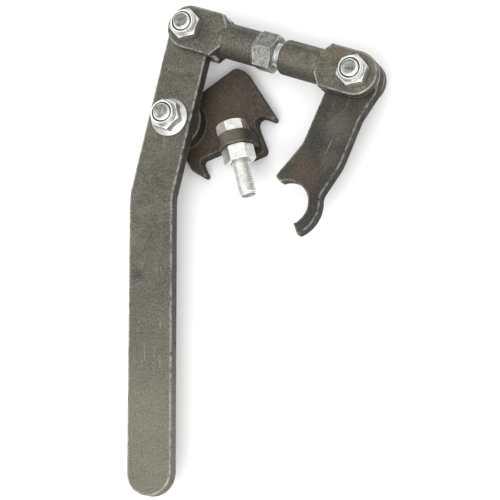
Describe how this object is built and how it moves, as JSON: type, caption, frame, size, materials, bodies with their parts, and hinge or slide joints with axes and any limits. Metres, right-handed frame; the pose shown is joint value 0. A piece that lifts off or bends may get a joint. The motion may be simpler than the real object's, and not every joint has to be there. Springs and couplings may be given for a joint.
{
  "type": "trailer coupler lock",
  "caption": "Hand-lever coupler latch: a cranked flat lever on a notched forged bracket works an adjustable clevis link that carries a notched claw arm.",
  "frame": {"origin": "under the middle of the whole outline, on the plane of the bracket's back face", "axes": "+Y from the hand end of the lever towards its pivots, +Z along the bolts towards the nuts, +X from the lever towards the claw"},
  "size_m": [0.1772, 0.3316, 0.0515],
  "materials": {
    "bar_steel": "oiled hot-rolled mill scale, satin, fine mottling, edges worn bright",
    "clevis_steel": "oiled machined and tumbled steel, satin",
    "claw_steel": "oiled forged steel, mottled grey-brown with a brown heat patch",
    "dark_forging": "dark forged scale with a brown rust tint, satin",
    "zinc_plate": "bright zinc plating",
    "black_nylon": "dark nylon locking ring"
  },
  "bodies": {
    "bracket": {"bracket_plate": "dark_forging", "fulcrum_bolt": "zinc_plate", "fulcrum_flange_nut": "zinc_plate", "fulcrum_nylon_insert": "black_nylon"},
    "lever": {"lever_handle": "bar_steel"},
    "link_near_half": {"left_clevis": "clevis_steel", "left_pivot_bolt": "zinc_plate", "left_lock_nut": "zinc_plate", "left_nylon_insert": "black_nylon"},
    "jam_nut": {"jam_nut": "zinc_plate"},
    "link_far_half": {"right_clevis": "clevis_steel", "adjuster_stud": "zinc_plate", "right_pivot_bolt": "zinc_plate", "right_lock_nut": "zinc_plate", "right_nylon_insert": "black_nylon"},
    "claw": {"claw_arm": "claw_steel"},
    "stop_bolt": {"stop_bolt": "zinc_plate"},
    "stop_lock_nut": {"stop_lock_nut": "zinc_plate"}
  },
  "joints": [
    {"name": "lever_pivot", "type": "hinge", "parent": "bracket", "child": "lever", "pos_m": [-0.05958, 0.08902, 0.025], "axis": [0, 0, 1], "range_deg": [-25, 36]},
    {"name": "link_pivot", "type": "hinge", "parent": "lever", "child": "link_near_half", "pos_m": [-0.04419, 0.15031, 0.025], "axis": [0, 0, 1], "range_deg": [-7, 120]},
    {"name": "link_adjust", "type": "slide", "parent": "link_near_half", "child": "link_far_half", "axis": [0.9304, -0.3665, 0], "range_m": [-0.0035, 0.008]},
    {"name": "jam_nut_spin", "type": "hinge", "parent": "link_near_half", "child": "jam_nut", "pos_m": [0.01034, 0.12883, 0.025], "axis": [0.9304, -0.3665, 0], "continuous": true},
    {"name": "claw_pivot", "type": "hinge", "parent": "link_far_half", "child": "claw", "pos_m": [0.0736, 0.10391, 0.025], "axis": [0, 0, 1], "range_deg": [-5, 150]},
    {"name": "stop_adjust", "type": "slide", "parent": "bracket", "child": "stop_bolt", "axis": [-0.2351, 0.972, 0], "range_m": [0, 0.008]},
    {"name": "stop_nut_spin", "type": "hinge", "parent": "bracket", "child": "stop_lock_nut", "pos_m": [-0.01146, 0.0594, 0.025], "axis": [0.2351, -0.972, 0], "continuous": true}
  ]
}
